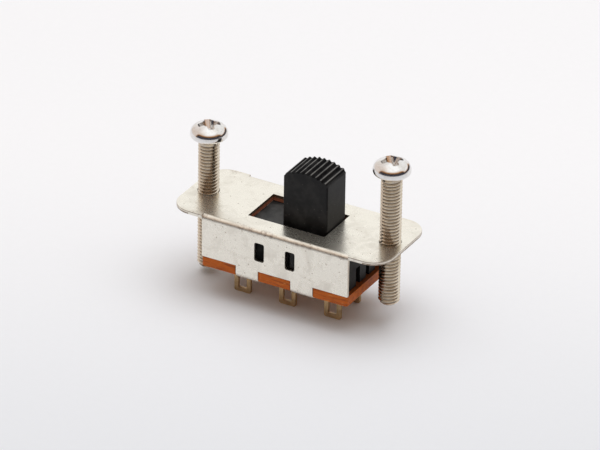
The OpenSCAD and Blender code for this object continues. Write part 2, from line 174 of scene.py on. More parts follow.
class SwitchColours(PropertyGroup):
    """Colours of the switch's finishes."""

    plating: colour("Plating", "Plated sheet steel", 0.92, 0.882, 0.79)
    plating_dull: colour("Dull plating", "Stained plating", 0.66, 0.61, 0.53)
    # Painted shade of small dents along the folds.
    dent_shade: colour("Bruise", "Bruised plating along the folds", 0.42, 0.35, 0.30)
    cut_steel: colour("Cut steel", "Sheared edges of the sheet", 0.88, 0.82, 0.72)
    torn_steel: colour("Torn steel", "Torn line of a sheared edge", 0.15, 0.085, 0.04)
    slot_edge: colour("Slot edge", "Shaded edge round the slot", 0.13, 0.06, 0.02)
    speck: colour("Speck", "Dark specks in metal", 0.22, 0.15, 0.09)
    hairline: colour("Hairline", "Fine scratches in metal", 0.42, 0.37, 0.31)
    board: colour("Board", "Punched edge of the phenolic board", 0.52, 0.115, 0.009)
    # Partly painted shade: matched to the board's top face, which lies in shade.
    board_face_and_shade: colour("Board face", "Faces of the board", 0.16, 0.045, 0.015)
    board_dark: colour("Board streak", "Dark streaks in the board", 0.17, 0.03, 0.010)
    board_light: colour("Board fleck", "Light flecks in the board", 0.62, 0.23, 0.06)
    liner: colour("Liner", "Vulcanised fibre liner", 0.44, 0.15, 0.085)
    liner_dark: colour("Liner streak", "Dark streaks in the liner", 0.10, 0.022, 0.012)
    liner_light: colour("Liner fleck", "Light flecks in the liner", 0.50, 0.22, 0.12)
    lug: colour("Lug", "Dull tinned brass", 0.62, 0.44, 0.24)
    lug_dull: colour("Dull lug", "Stained tinned brass", 0.30, 0.22, 0.13)
    screw: colour("Screw", "Nickel-plated screw", 0.82, 0.81, 0.80)
    screw_dull: colour("Dull screw", "Stained nickel plate", 0.60, 0.53, 0.44)
    thread: colour("Thread", "Dulled plating of the thread", 0.66, 0.585, 0.485)
    thread_dull: colour("Dull thread", "Stained thread", 0.44, 0.34, 0.24)
    # Dirt and painted shade in the thread's grooves.
    groove: colour("Thread groove", "Grime in the thread", 0.17, 0.115, 0.07)
    plastic: colour("Plastic", "Black moulded plastic", 0.006, 0.006, 0.0065)
    # Also painted on the slider as a highlight on its crests and as sheen below the
    # plate.
    plastic_worn_and_lit: colour("Worn plastic", "Rubbed crests", 0.30, 0.29, 0.28)
    plunger: colour("Plunger", "Plastic of the detent plungers", 0.008, 0.008, 0.009)
    bronze: colour("Bronze", "Contact clips", 0.55, 0.32, 0.14)
    bronze_dull: colour("Dull bronze", "Stained contact clips", 0.30, 0.15, 0.06)
    spring: colour("Spring", "Spring steel", 0.42, 0.41, 0.40)
    spring_dull: colour("Dull spring", "Stained spring steel", 0.22, 0.20, 0.18)


class StudioSettings(PropertyGroup):
    """Camera, floor and light."""

    azimuth: angle("Azimuth", "Camera's turn from the front to the right", 29)
    elevation: angle("Elevation", "Camera's height above the horizon", 29)
    roll: angle("Roll", "Camera's turn about its own axis", 0.93)
    distance: length("Distance", "From the aim point to the camera", 0.8996, 0.1, 9)
    aim: point("Aim point", "What the camera looks at", 0.00047, -0.00048, 0.01154)
    focal_length: FloatProperty(
        name="Focal length", description="Camera's focal length in millimetres",
        default=393.75, min=50, max=1000,
    )
    floor: colour("Floor", "Plain pale floor, where it is far off", 0.965, 0.962, 0.998)
    # Painted shade: the floor is painted darker towards the camera.
    floor_near_shaded: colour("Near floor", "The floor by the camera", 0.80, 0.815, 0.865)
    floor_grain: colour("Floor grain", "Faint grain of the floor", 0.6, 0.6, 0.6)
    floor_size: length("Floor size", "From the floor's middle to its side", 3.0, 0.5, 9)
    key_place: point("Key place", "Place of the large lamp", 0.06, 0.10, 0.90)
    key_power: share("Key power", "Power of the large lamp, in watts", 4.8, 100)
    key_size: length("Key size", "Side of the large lamp", 1.0, 0.05, 5)
    key_tint: colour("Key tint", "Colour of the large lamp", 0.92, 0.96, 1.0)
    sky: share("Sky", "Brightness of the plain surroundings", 0.83)
    sky_tint: colour("Sky tint", "Colour of the light from above", 1.0, 0.975, 0.93)
    low_tint: colour("Low tint", "Colour of the light from low down", 0.15, 0.09, 0.02)
    overhead: share("Overhead", "Brightness that metal shows from above", 1.2, 2.0)
    backdrop: share("Backdrop", "Brightness of the plain background", 0.95)
    bright: colour("Bright side", "Bright side in reflections", 1.0, 0.998, 0.992)
    amber: colour("Amber", "Rim of the dark side in reflections", 0.50, 0.22, 0.05)
    brown: colour("Brown", "Inside that rim", 0.09, 0.05, 0.03)
    flag: colour("Flag", "Dark side in reflections", 0.05, 0.05, 0.065)


def settings():
    """The switch's sizes, its colours and the studio's settings."""
    scene = bpy.context.scene
    return scene.switch_sizes, scene.switch_colours, scene.switch_studio


# ---------------------------------------------------------------- shader nodes


def put(tree, kind, inputs=None, **options):
    """Adds a node. An input is a value, or the socket that it is linked from."""
    node = tree.nodes.new(kind)
    for name, value in options.items():
        setattr(node, name, value)
    for name, value in (inputs or {}).items():
        socket = node.inputs[name]
        if isinstance(value, NodeSocket):
            tree.links.new(value, socket)
        else:
            socket.default_value = value
    return node


def calc(tree, operation, *values):
    """The result of a Math node."""
    node = put(tree, "ShaderNodeMath", dict(enumerate(values)), operation=operation)
    return node.outputs[0]


def chain(tree, operation, values):
    """The result of one Math operation run along a row of values."""
    result, *rest = values
    for value in rest:
        result = calc(tree, operation, result, value)
    return result


def times(tree, *values):
    """The product of masks or numbers."""
    return chain(tree, "MULTIPLY", values)


def most(tree, *values):
    """The largest of several masks."""
    return chain(tree, "MAXIMUM", values)


def arm_length(tree, first, second):
    """The length of the arm whose two sides are given."""
    squares = [times(tree, side, side) for side in (first, second)]
    return calc(tree, "SQRT", calc(tree, "ADD", *squares))


def split(tree, vector):
    """The X, Y and Z of a vector."""
    return put(tree, "ShaderNodeSeparateXYZ", {0: vector}).outputs[:]


def split_normal(tree):
    """The X, Y and Z of the surface's normal."""
    return split(tree, put(tree, "ShaderNodeNewGeometry").outputs["Normal"])


def agreement(tree, vector, way):
    """The share of a vector that points the given way."""
    node = put(
        tree, "ShaderNodeVectorMath", {0: vector, 1: way}, operation="DOT_PRODUCT"
    )
    return node.outputs["Value"]


def blend(tree, factor, first, second):
    """The colour between two others."""
    inputs = {0: factor, 6: first, 7: second}
    return put(tree, "ShaderNodeMix", inputs, data_type="RGBA").outputs[2]


def blend_numbers(tree, factor, first, second):
    """The number between two others."""
    inputs = {0: factor, 2: first, 3: second}
    return put(tree, "ShaderNodeMix", inputs, data_type="FLOAT").outputs[0]


def remap(tree, value, low, high, to_low=0.0, to_high=1.0):
    """A value moved smoothly from one range to another."""
    inputs = {0: value, 1: low, 2: high, 3: to_low, 4: to_high}
    node = put(tree, "ShaderNodeMapRange", inputs, interpolation_type="SMOOTHSTEP")
    return node.outputs[0]


def noise(tree, vector, scale, detail=4.0, roughness=0.6, distortion=0.0):
    """The value of a Noise Texture."""
    inputs = {
        "Vector": vector, "Scale": scale, "Detail": detail,
        "Roughness": roughness, "Distortion": distortion,
    }
    return put(tree, "ShaderNodeTexNoise", inputs).outputs[0]


def place(tree, vector, turn=(0, 0, 0), scale=(1, 1, 1)):
    """A vector turned, in degrees, and stretched by a Mapping node."""
    inputs = {
        "Vector": vector, "Scale": scale,
        "Rotation": [math.radians(part) for part in turn],
    }
    return put(tree, "ShaderNodeMapping", inputs).outputs[0]


def marks(tree, vector, scale, keep, size, stretch=1.0):
    """A mask of scattered specks, or of hairlines where the cells are stretched."""
    cells = put(
        tree, "ShaderNodeTexVoronoi",
        {"Vector": place(tree, vector, scale=(1 / stretch, 1, 1)), "Scale": scale},
    )
    chosen = put(tree, "ShaderNodeSeparateColor", {0: cells.outputs["Color"]})
    kept = remap(tree, chosen.outputs[0], 1.0, keep)
    near = remap(tree, cells.outputs["Distance"], size, 0.3 * size)
    return times(tree, kept, near)


# ---------------------------------------------------------------- finish groups


def new_group(name, inputs):
    """A finish group that gives colour, roughness and height from its inputs."""
    tree = bpy.data.node_groups.new(name, "ShaderNodeTree")
    outputs = {"Color": "Color", "Roughness": "Float", "Height": "Float"}
    for side, sockets in (("INPUT", inputs), ("OUTPUT", outputs)):
        for label, kind in sockets.items():
            tree.interface.new_socket(
                label, in_out=side, socket_type="NodeSocket" + kind
            )
    return tree, tree.nodes.new("NodeGroupInput").outputs


def close_group(tree, shade, rough, height):
    """Gives a finish group its three results."""
    result = tree.nodes.new("NodeGroupOutput")
    for name, socket in (("Color", shade), ("Roughness", rough), ("Height", height)):
        tree.links.new(socket, result.inputs[name])
    return tree


def warp(tree, vector, scale, reach):
    """A vector moved about by noise, so that what follows it isn't straight."""
    drift = put(tree, "ShaderNodeTexNoise", {"Vector": vector, "Scale": scale})
    shift = put(
        tree, "ShaderNodeVectorMath", {0: drift.outputs["Color"], "Scale": reach},
        operation="SCALE",
    )
    moved = put(
        tree, "ShaderNodeVectorMath", {0: vector, 1: shift.outputs[0]}, operation="ADD"
    )
    return moved.outputs[0]


def metal_marks_group():
    """Mottling, specks and hairline scratches of handled metal."""
    colours = settings()[1]
    tree, given = new_group("Metal marks", {
        "Vector": "Vector", "Clean": "Color", "Dull": "Color", "Scale": "Float",
        "Mottle": "Float", "Specks": "Float", "Scratches": "Float",
        "Roughness": "Float",
    })
    vector, scale = given["Vector"], given["Scale"]
    broad = noise(tree, vector, scale, detail=5, roughness=0.62, distortion=0.6)
    fine = noise(tree, vector, times(tree, scale, 9.0), detail=3)
    stain = times(tree, remap(tree, broad, 0.44, 0.72), given["Mottle"])
    warped = warp(tree, vector, scale, 0.0004)
    specks = marks(tree, warped, times(tree, scale, 2.6), keep=0.86, size=0.16)
    hairlines = most(tree, *[
        marks(
            tree, place(tree, warped, turn=turn), times(tree, scale, density),
            keep=0.80, size=0.045, stretch=9.0,
        )
        for turn, density in (
            ((20, 35, 24), 3.2), ((-35, 15, 118), 4.2), ((50, 60, 70), 5.4),
        )
    ])
    specks = times(tree, specks, given["Specks"])
    hairlines = times(tree, hairlines, given["Scratches"])
    shade = blend(tree, stain, given["Clean"], given["Dull"])
    shade = blend(tree, remap(tree, fine, 0.3, 0.7, 0.0, 0.05), shade, BLACK)
    shade = blend(tree, specks, shade, colours.speck)
    shade = blend(tree, hairlines, shade, colours.hairline)
    uneven = times(tree, calc(tree, "SUBTRACT", fine, 0.42), 0.05)
    rough = chain(
        tree, "ADD", (given["Roughness"], uneven, times(tree, stain, 0.12))
    )
    height = chain(tree, "SUBTRACT", (times(tree, fine, 0.12), hairlines, specks))
    return close_group(tree, shade, rough, height)


def fibre_group():
    """Pressed fibre: streaks along X, broken by dark and light flecks."""
    tree, given = new_group("Pressed fibre", {
        "Vector": "Vector", "Base": "Color", "Dark": "Color", "Light": "Color",
        "Contrast": "Float",
    })
    along = place(tree, given["Vector"], scale=(260, 1500, 2600))
    finer = place(tree, given["Vector"], scale=(900, 2400, 3800))
    streak = noise(tree, along, 1.0, detail=5, roughness=0.65, distortion=0.5)
    fleck = noise(tree, finer, 1.0, detail=3)
    dark = times(tree, remap(tree, streak, 0.46, 0.70), given["Contrast"])
    light = times(tree, remap(tree, fleck, 0.54, 0.74), given["Contrast"])
    shade = blend(tree, dark, given["Base"], given["Dark"])
    shade = blend(tree, light, shade, given["Light"])
    rough = remap(tree, fleck, 0.3, 0.7, 0.42, 0.62)
    height = calc(tree, "ADD", streak, times(tree, fleck, 0.6))
    return close_group(tree, shade, rough, height)


def moulding_group():
    """Moulded plastic: fine spark texture, faint scuffs and a few pale specks."""
    tree, given = new_group("Moulded plastic", {
        "Vector": "Vector", "Base": "Color", "Worn": "Color", "Wear": "Float",
        "Roughness": "Float",
    })
    vector = given["Vector"]
    grain = noise(tree, vector, 9000.0, detail=2, roughness=0.5)
    cloud = noise(tree, vector, 520.0)
    dust = marks(tree, vector, 1300.0, keep=0.93, size=0.09)
    turned = place(tree, vector, turn=(30, 20, 80))
    scuffs = marks(tree, turned, 1500.0, keep=0.8, size=0.05, stretch=18.0)
    wear = times(tree, given["Wear"], remap(tree, cloud, 0.35, 0.6, 0.45, 1.0))
    shade = given["Base"]
    for mask in (
        remap(tree, cloud, 0.4, 0.7, 0.0, 0.05), times(tree, scuffs, 0.14),
        times(tree, dust, 0.35), wear,
    ):
        shade = blend(tree, mask, shade, given["Worn"])
    uneven = times(tree, calc(tree, "SUBTRACT", cloud, 0.5), 0.25)
    rough = calc(tree, "ADD", given["Roughness"], uneven)
    return close_group(tree, shade, rough, grain)


def group_tree(name):
    """The named group, built on first use."""
    makers = {
        "Metal marks": metal_marks_group,
        "Pressed fibre": fibre_group,
        "Moulded plastic": moulding_group,
    }
    return bpy.data.node_groups.get(name) or makers[name]()


# ---------------------------------------------------------------- kinds of finish


def new_material(name, specular=0.5):
    """A material with one Principled shader. Returns material, tree, shader, vector."""
    material = bpy.data.materials.new(name)
    material.use_nodes = True
    tree = material.node_tree
    shader = tree.nodes["Principled BSDF"]
    shader.inputs["Specular IOR Level"].default_value = specular
    vector = put(tree, "ShaderNodeTexCoord").outputs["Object"]
    return material, tree, shader, vector


def finish_with(tree, shader, group_name, inputs, relief, colour_change=None):
    """Feeds a finish group's colour, roughness and relief to the shader."""
    group = put(tree, "ShaderNodeGroup", inputs, node_tree=group_tree(group_name))
    shade = group.outputs["Color"]
    if colour_change:
        shade = colour_change(tree, inputs["Vector"], shade)
    bump = put(
        tree, "ShaderNodeBump",
        {"Height": group.outputs["Height"], "Strength": 1.0, "Distance": relief},
    )
    tree.links.new(shade, shader.inputs["Base Color"])
    tree.links.new(group.outputs["Roughness"], shader.inputs["Roughness"])
    tree.links.new(bump.outputs["Normal"], shader.inputs["Normal"])


def metal(name, clean, dull, *, scale, mottle, specks, scratches, roughness, relief,
          metallic=1.0, colour_change=None):
    """A handled metal.

    A roughness or a metallic share is a number, or a function of tree and vector. A
    colour change is a function of tree, vector and colour.
    """
    material, tree, shader, vector = new_material(name)
    if callable(roughness):
        roughness = roughness(tree, vector)
    if callable(metallic):
        tree.links.new(metallic(tree, vector), shader.inputs["Metallic"])
    else:
        shader.inputs["Metallic"].default_value = metallic
    given = {
        "Vector": vector, "Clean": clean, "Dull": dull, "Scale": scale,
        "Mottle": mottle, "Specks": specks, "Scratches": scratches,
        "Roughness": roughness,
    }
    finish_with(tree, shader, "Metal marks", given, relief, colour_change)
    return material


def fibre(name, base, dark, light, *, contrast, relief, colour_change=None):
    """A pressed fibre board. A colour change is a function, as for a metal."""
    material, tree, shader, vector = new_material(name, specular=0.2)
    given = {
        "Vector": vector, "Base": base, "Dark": dark, "Light": light,
        "Contrast": contrast,
    }
    finish_with(tree, shader, "Pressed fibre", given, relief, colour_change)
    return material


def plastic(name, base, worn_and_lit, *, roughness, relief, masks=None):
    """A moulded plastic. The masks take tree and vector and give wear and dullness."""
    sheen = 0.2
    material, tree, shader, vector = new_material(name, specular=sheen)
    wear = 0.0
    if masks:
        # The slider's wear mask also carries its painted highlight and painted sheen.
        wear, dull = masks(tree, vector)
        level = calc(tree, "SUBTRACT", sheen, times(tree, dull, 0.9 * sheen))
        tree.links.new(level, shader.inputs["Specular IOR Level"])
    given = {
        "Vector": vector, "Base": base, "Worn": worn_and_lit, "Wear": wear,
        "Roughness": roughness,
    }
    finish_with(tree, shader, "Moulded plastic", given, relief)
    return material


# ---------------------------------------------------------------- finishes


def fold_share(tree, vector, sizes):
    """A mask of the folds' outsides."""
    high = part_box("frame")[1]
    full_in, full_down = 2e-4, 5e-4
    _, across, up = split(tree, vector)
    across = calc(tree, "ABSOLUTE", across)
    return times(
        tree, remap(tree, across, high.y - sizes.fold_reach, high.y - full_in),
        remap(tree, up, high.z - sizes.fold_reach, high.z - full_down),
    )


def plated_steel(sizes, colours):
    """The sheet's skins: stained, with dull folds with painted dent shade, walls with
    painted shade, and outlined ears.
    """
    plate_high, ears_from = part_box("frame")[1].z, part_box("base")[1].x

    def dull_folds(tree, vector):
        """The skins' roughness, higher on the folds."""
        skin, rise_on_fold = 0.26, 0.14
        on_fold = fold_share(tree, vector, sizes)
        return calc(tree, "ADD", skin, times(tree, on_fold, rise_on_fold))

    def skin_marks_and_shade(tree, vector, shade):
        """Paints the shade of small dents on the folds, paints a little shade on the
        walls and outlines the ears.
        """
        # Painted shade: darker patches along the folds stand in for the shade of small
        # dents.
        fine = remap(tree, noise(tree, vector, 1700.0), 0.46, 0.62)
        broad = remap(tree, noise(tree, vector, 160.0, detail=1), 0.42, 0.60, 0.1, 0.65)
        dent_shade_patches = times(tree, fold_share(tree, vector, sizes), fine, broad)
        shade = blend(tree, dent_shade_patches, shade, colours.dent_shade)
        _, sideways, upward = split_normal(tree)
        sideways = calc(tree, "ABSOLUTE", sideways)
        # Painted shade: the front and back walls are darkened a little.
        shade = blend(tree, remap(tree, sideways, 0.5, 0.9, 0.0, 0.06), shade, BLACK)
        along, _, up = split(tree, vector)
        along = calc(tree, "ABSOLUTE", along)
        outline = times(
            tree, remap(tree, upward, 0.98, 0.85, 0.0, 0.8),
            calc(tree, "GREATER_THAN", along, ears_from),
            calc(tree, "GREATER_THAN", up, plate_high - JUST_BELOW),
        )
        return blend(tree, outline, shade, colours.torn_steel)

    return metal(
        "Plated steel", colours.plating, colours.plating_dull, scale=420.0,
        mottle=0.45, specks=0.55, scratches=0.40, roughness=dull_folds,
        relief=1.3e-6, metallic=0.93, colour_change=skin_marks_and_shade,
    )


def cut_steel(sizes, colours):
    """Sheared edges, with a torn line at the foot and a rolled one at the top."""
    plate_low, plate_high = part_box("liner")[1].z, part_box("frame")[1].z
    reach, rolled_full = sizes.burr_reach, 7e-5

    def lines(tree, vector):
        """A broken mask of both lines, on the plate's edges only."""
        up = split(tree, vector)[2]
        torn = remap(tree, up, plate_low + reach, plate_low + 2 * reach, 0.9, 0.0)
        rolled = remap(
            tree, up, plate_high - reach, plate_high - rolled_full, 0.0, 0.85
        )
        return times(
            tree, most(tree, torn, rolled),
            calc(tree, "GREATER_THAN", up, plate_low - JUST_BELOW),
            remap(tree, noise(tree, vector, 1500.0), 0.36, 0.60, 0.55, 1.0),
        )

    def bare_between(tree, vector):
        """The share of bare metal, which the lines lack."""
        return calc(tree, "SUBTRACT", 1.0, lines(tree, vector))

    def lines_and_slot(tree, vector, shade):
        """Draws the lines and shades the edge round the slot."""
        along, across, _ = split(tree, vector)
        depth, shading = 2e-4, 0.8
        inside = [
            remap(tree, calc(tree, "ABSOLUTE", way), half, half + depth, 1.0, 0.0)
            for way, half in (
                (along, sizes.slot_length / 2), (across, sizes.slot_width / 2),
            )
        ]
        shade = blend(tree, lines(tree, vector), shade, colours.torn_steel)
        return blend(tree, times(tree, *inside, shading), shade, colours.slot_edge)

    return metal(
        "Cut steel", colours.cut_steel, colours.plating_dull, scale=900.0,
        mottle=0.5, specks=0.3, scratches=0.0, roughness=0.34, relief=6e-6,
        metallic=bare_between, colour_change=lines_and_slot,
    )


def phenolic_board(colours):
    """Streaked board, orange on its punched edges and brown on its faces, partly its
    own colour and partly painted shade.
    """

    def darker_shaded_faces(tree, vector, shade):
        """Turns the colour to the faces', partly painted shade, where the surface looks
        up or down.
        """
        upward = calc(tree, "ABSOLUTE", split_normal(tree)[2])
        # Partly painted shade: the faces' brown matches a face that lies in shade.
        face = blend(tree, 0.25, colours.board_face_and_shade, shade)
        return blend(tree, remap(tree, upward, 0.5, 0.9), shade, face)

    return fibre(
        "Phenolic board", colours.board, colours.board_dark, colours.board_light,
        contrast=0.75, relief=1.2e-5, colour_change=darker_shaded_faces,
    )


def vulcanised_fibre(colours):
    """The liner's reddish fibre."""
    return fibre(
        "Vulcanised fibre", colours.liner, colours.liner_dark, colours.liner_light,
        contrast=0.6, relief=1e-5,
    )


def tinned_brass(colours):
    """The lugs' dull tin."""
    return metal(
        "Tinned brass", colours.lug, colours.lug_dull, scale=800.0, mottle=0.7,
        specks=0.4, scratches=0.3, roughness=0.36, relief=4e-6,
    )


def nickel_plate(colours):
    """The screw heads' bright plating."""
    return metal(
        "Nickel plate", colours.screw, colours.screw_dull, scale=700.0, mottle=0.4,
        specks=0.3, scratches=0.2, roughness=0.14, relief=1.5e-6,
    )


def nickel_thread(sizes, colours, spread):
    """The threads' dulled plating, darker at the root with dirt and painted shade.

    The spread is the distance of both screws from the middle.
    """
    grime_and_shade_share = 0.45
    root = sizes.thread_radius - sizes.thread_depth
    unmarked_from = root + grime_and_shade_share * sizes.thread_depth

    def grime_and_shade(tree, vector):
        """The share of dirt and painted shade, from the root outwards."""
        along, across, _ = split(tree, vector)
        arm = calc(tree, "SUBTRACT", calc(tree, "ABSOLUTE", along), spread)
        reach = arm_length(tree, arm, across)
        return remap(tree, reach, root, unmarked_from, sizes.grime_and_shade, 0.0)

    def grimy_shaded_grooves(tree, vector, shade):
        """Darkens the grooves with dirt and painted shade."""
        return blend(tree, grime_and_shade(tree, vector), shade, colours.groove)

    def dull_grooves(tree, vector):
        """The share of bare metal, which the grooves lack."""
        return calc(tree, "SUBTRACT", 1.0, grime_and_shade(tree, vector))

    return metal(
        "Nickel thread", colours.thread, colours.thread_dull, scale=900.0,
        mottle=0.5, specks=0.2, scratches=0.0, roughness=0.17, relief=2e-6,
        metallic=dull_grooves, colour_change=grimy_shaded_grooves,
    )


def black_plastic(sizes, colours):
    """The slider's moulding: crests with wear and a painted highlight, dull valleys,
    and a carriage with dust and painted sheen.
    """
    low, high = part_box("slider")
    middle = (low.x + high.x) / 2
    half, drop = sizes.grip_length / 2, sizes.crown_drop
    arch = (half ** 2 + drop ** 2) / (2 * drop)
    rubbed_and_lit_from = arch - 0.16 * sizes.rib_depth
    valley_at = arch - 0.3 * sizes.rib_depth
    crown_foot = high.z - drop
    plate_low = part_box("liner")[1].z
    dust_and_sheen_from = plate_low - 3e-4

    def masks(tree, vector):
        """Wear and painted highlight on the crests, dust and painted sheen below the
        plate, and dullness.
        """
        along, _, up = split(tree, vector)
        reach = arm_length(
            tree, calc(tree, "SUBTRACT", along, middle),
            calc(tree, "SUBTRACT", up, high.z - arch),
        )
        rightward, sideways, upward = split_normal(tree)
        sideways = calc(tree, "ABSOLUTE", sideways)
        flank = remap(tree, sideways, 0.3, 0.7)
        ribbed = remap(tree, sideways, 0.3, 0.7, 1.0, 0.0)
        crown = times(
            tree, ribbed, remap(tree, up, crown_foot - sizes.rib_depth, crown_foot)
        )
        # Partly painted highlight: the crests are lightened for wear and for the light
        # they catch.
        rubbed_and_lit = remap(tree, reach, rubbed_and_lit_from, arch, 0.0, sizes.rubbing_and_highlight)
        valley = remap(tree, reach, valley_at, arch, 1.0, 0.0)
        below = remap(tree, up, dust_and_sheen_from, plate_low, 1.0, 0.0)
        dull = most(
            tree, times(tree, crown, valley), times(tree, below, flank),
            remap(tree, rightward, 0.5, 0.9, 0.0, 0.35),
        )
        level = calc(tree, "ADD", 1.0, remap(tree, upward, 0.5, 0.9))
        # Dust and painted sheen: lightened below the plate, twice as much where the
        # carriage faces up.
        dust_and_sheen = times(tree, ribbed, level, below, sizes.dust)
        return calc(tree, "ADD", dust_and_sheen, times(tree, crown, rubbed_and_lit)), dull

    return plastic(
        "Black plastic", colours.plastic, colours.plastic_worn_and_lit, roughness=0.46,
        relief=3e-6, masks=masks,
    )


def plunger_plastic(colours):
    """The detent plungers' moulding."""
    return plastic(
        "Plunger plastic", colours.plunger, colours.plastic_worn_and_lit, roughness=0.36,
        relief=2e-6,
    )


def contact_bronze(colours):
    """The contact clips' strip."""
    return metal(
        "Contact bronze", colours.bronze, colours.bronze_dull, scale=900.0,
        mottle=0.5, specks=0.3, scratches=0.3, roughness=0.28, relief=2e-6,
    )


def spring_steel(colours):
    """The detent spring's wire."""
    return metal(
        "Spring steel", colours.spring, colours.spring_dull, scale=1500.0,
        mottle=0.4, specks=0.2, scratches=0.2, roughness=0.25, relief=1e-6,
    )


# ---------------------------------------------------------------- mesh helpers


def make_piece(name, bm, materials, body, node):
    """Turns a bmesh into a piece that rides on a body and replaces its CAD node."""
    mesh = bpy.data.meshes.new(name)
    bm.to_mesh(mesh)
    bm.free()
    # The CAD's own normals and sharp marks don't fit the rounded edges.
    for attribute in ("custom_normal", "sharp_edge", "sharp_face"):
        found = mesh.attributes.get(attribute)
        if found:
            mesh.attributes.remove(found)
    for polygon in mesh.polygons:
        polygon.use_smooth = polygon.area < BROAD
    mesh.set_sharp_from_angle(angle=SHARP)
    piece = bpy.data.objects.new(name, mesh)
    bpy.context.scene.collection.objects.link(piece)
    for material in materials:
        mesh.materials.append(material)
    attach(piece, body)
    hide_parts(node)
    return piece


def merged_copy(node):
    """A bmesh of a CAD node with its loose triangles welded into flat faces."""
    bm = bmesh.new()
    bm.from_mesh(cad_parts[node].data)
    bmesh.ops.remove_doubles(bm, verts=bm.verts, dist=WELD)
    bmesh.ops.dissolve_limit(
        bm, angle_limit=FLAT, verts=bm.verts, edges=bm.edges, delimit=set()
    )
    for face in bm.faces:
        face.material_index = 0
    return bm


def round_edges(bm, width, convex_only=False, spared=None):
    """Rounds the edges that turn sharply, but for those that are spared."""
    edges = []
    for edge in bm.edges:
        if len(edge.link_faces) == 2 and not (spared and spared(edge)):
            turn = edge.calc_face_angle_signed(0.0)
            if abs(turn) > SHARP and (turn > 0 or not convex_only):
                edges.append(edge)
    bmesh.ops.bevel(
        bm, geom=edges, offset=width, offset_type="OFFSET", segments=2,
        profile=0.5, affect="EDGES", material=-1, clamp_overlap=False,
        loop_slide=True,
    )


def weigh_normals(piece):
    """Keeps large flat faces flat beside their rounded edges."""
    modifier = piece.modifiers.new("Weighted normals", "WEIGHTED_NORMAL")
    modifier.keep_sharp = True


def rounded_piece(node, name, material, body, width, convex_only=False):
    """A piece with a CAD node's own form, and its edges rounded."""
    bm = merged_copy(node)
    round_edges(bm, width, convex_only)
    weigh_normals(make_piece(name, bm, [material], body, node))


def spin_profile(bm, points, centre, steps, turns=1, rise=0.0):
    """Spins a line of points about an upright axis; a rise makes a thread."""
    verts = [bm.verts.new(spot) for spot in points]
    edges = [bm.edges.new(pair) for pair in zip(verts, verts[1:])]
    bmesh.ops.spin(
        bm, geom=verts + edges, cent=(centre.x, centre.y, 0), axis=(0, 0, 1),
        dvec=(0, 0, rise / steps), angle=math.tau, steps=steps,
        use_merge=not rise, use_duplicate=False,
    )
    first = bm.verts[:] + bm.edges[:] + bm.faces[:]
    for turn in range(1, turns):
        copied = bmesh.ops.duplicate(bm, geom=first)["geom"]
        bmesh.ops.translate(
            bm, vec=(0, 0, turn * rise),
            verts=[v for v in copied if isinstance(v, bmesh.types.BMVert)],
        )
    bmesh.ops.remove_doubles(bm, verts=bm.verts, dist=WELD)


def arc(middle, radius, start, end, steps):
    """Points in X and Z along an arc, from one angle to the other, in degrees."""
    turns = [math.radians(start + (end - start) * i / steps) for i in range(steps + 1)]
    return [
        (middle[0] + radius * math.cos(turn), middle[1] + radius * math.sin(turn))
        for turn in turns
    ]


# ---------------------------------------------------------------- frame


def on_cut_edge(face, plate, wall, tab, wall_end):
    """True for a face that the shears made, and false for the sheet's own skins.

    The plate, wall and tab give the places of their two skins.
    """
    leaning, square = 0.05, 0.999
    normal, middle = face.normal, face.calc_center_median()
    if abs(normal.x) > leaning:
        return True
    if abs(normal.z) > square:
        return not any(abs(middle.z - z) < ON_SKIN for z in plate + tab)
    if abs(normal.y) > square:
        on_wall = any(abs(abs(middle.y) - y) < ON_SKIN for y in wall)
        return abs(middle.x) > wall_end or not on_wall
    return False


class SWITCH_OT_frame(Operator):
    """Builds the folded sheet-steel frame with its cut edges"""

    bl_idname = "switch.build_frame"
    bl_label = "Sheet-steel frame"

    def execute(self, context):
        sizes, colours, _ = settings()
        low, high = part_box("frame")
        liner_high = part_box("liner")[1]
        board_low, board_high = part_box("base")
        sheet = high.z - liner_high.z

        def at_fold_end(edge):
            """True where a fold stops at its notch, too tight to be rounded."""
            return all(
                abs(abs(v.co.x) - board_high.x) < sizes.notch_reach
                and v.co.z > liner_high.z - sizes.notch_reach
                and abs(v.co.y) > liner_high.y
                for v in edge.verts
            )

        bm = merged_copy("frame")
        for face in bm.faces:
            face.material_index = int(on_cut_edge(
                face, plate=(liner_high.z, high.z), wall=(high.y - sheet, high.y),
                tab=(low.z, board_low.z), wall_end=board_high.x,
            ))
        round_edges(bm, sizes.sheet_round, convex_only=True, spared=at_fold_end)
        materials = [plated_steel(sizes, colours), cut_steel(sizes, colours)]
        weigh_normals(make_piece(
            "sheet_frame", bm, materials, "case", "frame"
        ))
        return {"FINISHED"}


# ---------------------------------------------------------------- board and lugs


class SWITCH_OT_board(Operator):
    """Builds the phenolic terminal board with its punched edges"""

    bl_idname = "switch.build_board"
    bl_label = "Terminal board"

    def execute(self, context):
        sizes, colours, _ = settings()
        rounded_piece(
            "base", "terminal_board", phenolic_board(colours),
            "case", sizes.board_round,
        )
        return {"FINISHED"}


class SWITCH_OT_lugs(Operator):
    """Builds the six solder lugs with their contact blades"""

    bl_idname = "switch.build_lugs"
    bl_label = "Solder lugs"

    def execute(self, context):
        sizes, colours, _ = settings()
        tinned = tinned_brass(colours)
        for node in TERMINALS:
            rounded_piece(
                node, node.replace("terminal", "lug"), tinned,
                "case", sizes.lug_round,
            )
        return {"FINISHED"}


# ---------------------------------------------------------------- screws


def thread_profile(centre, start, sizes):
    """One pitch of the thread's outline, from root to root, at the given height."""
    crest, pitch, depth = sizes.thread_radius, sizes.thread_pitch, sizes.thread_depth
    root = crest - depth
    flank_angle = math.radians(30)
    flank = depth * math.tan(flank_angle)
    flat = pitch / 8
    valley = pitch - 2 * flank - flat
    steps = (
        (root, 0), (root, valley), (crest, valley + flank),
        (crest, valley + flank + flat), (root, pitch),
    )
    return [(centre.x + r, centre.y, start + z) for r, z in steps]


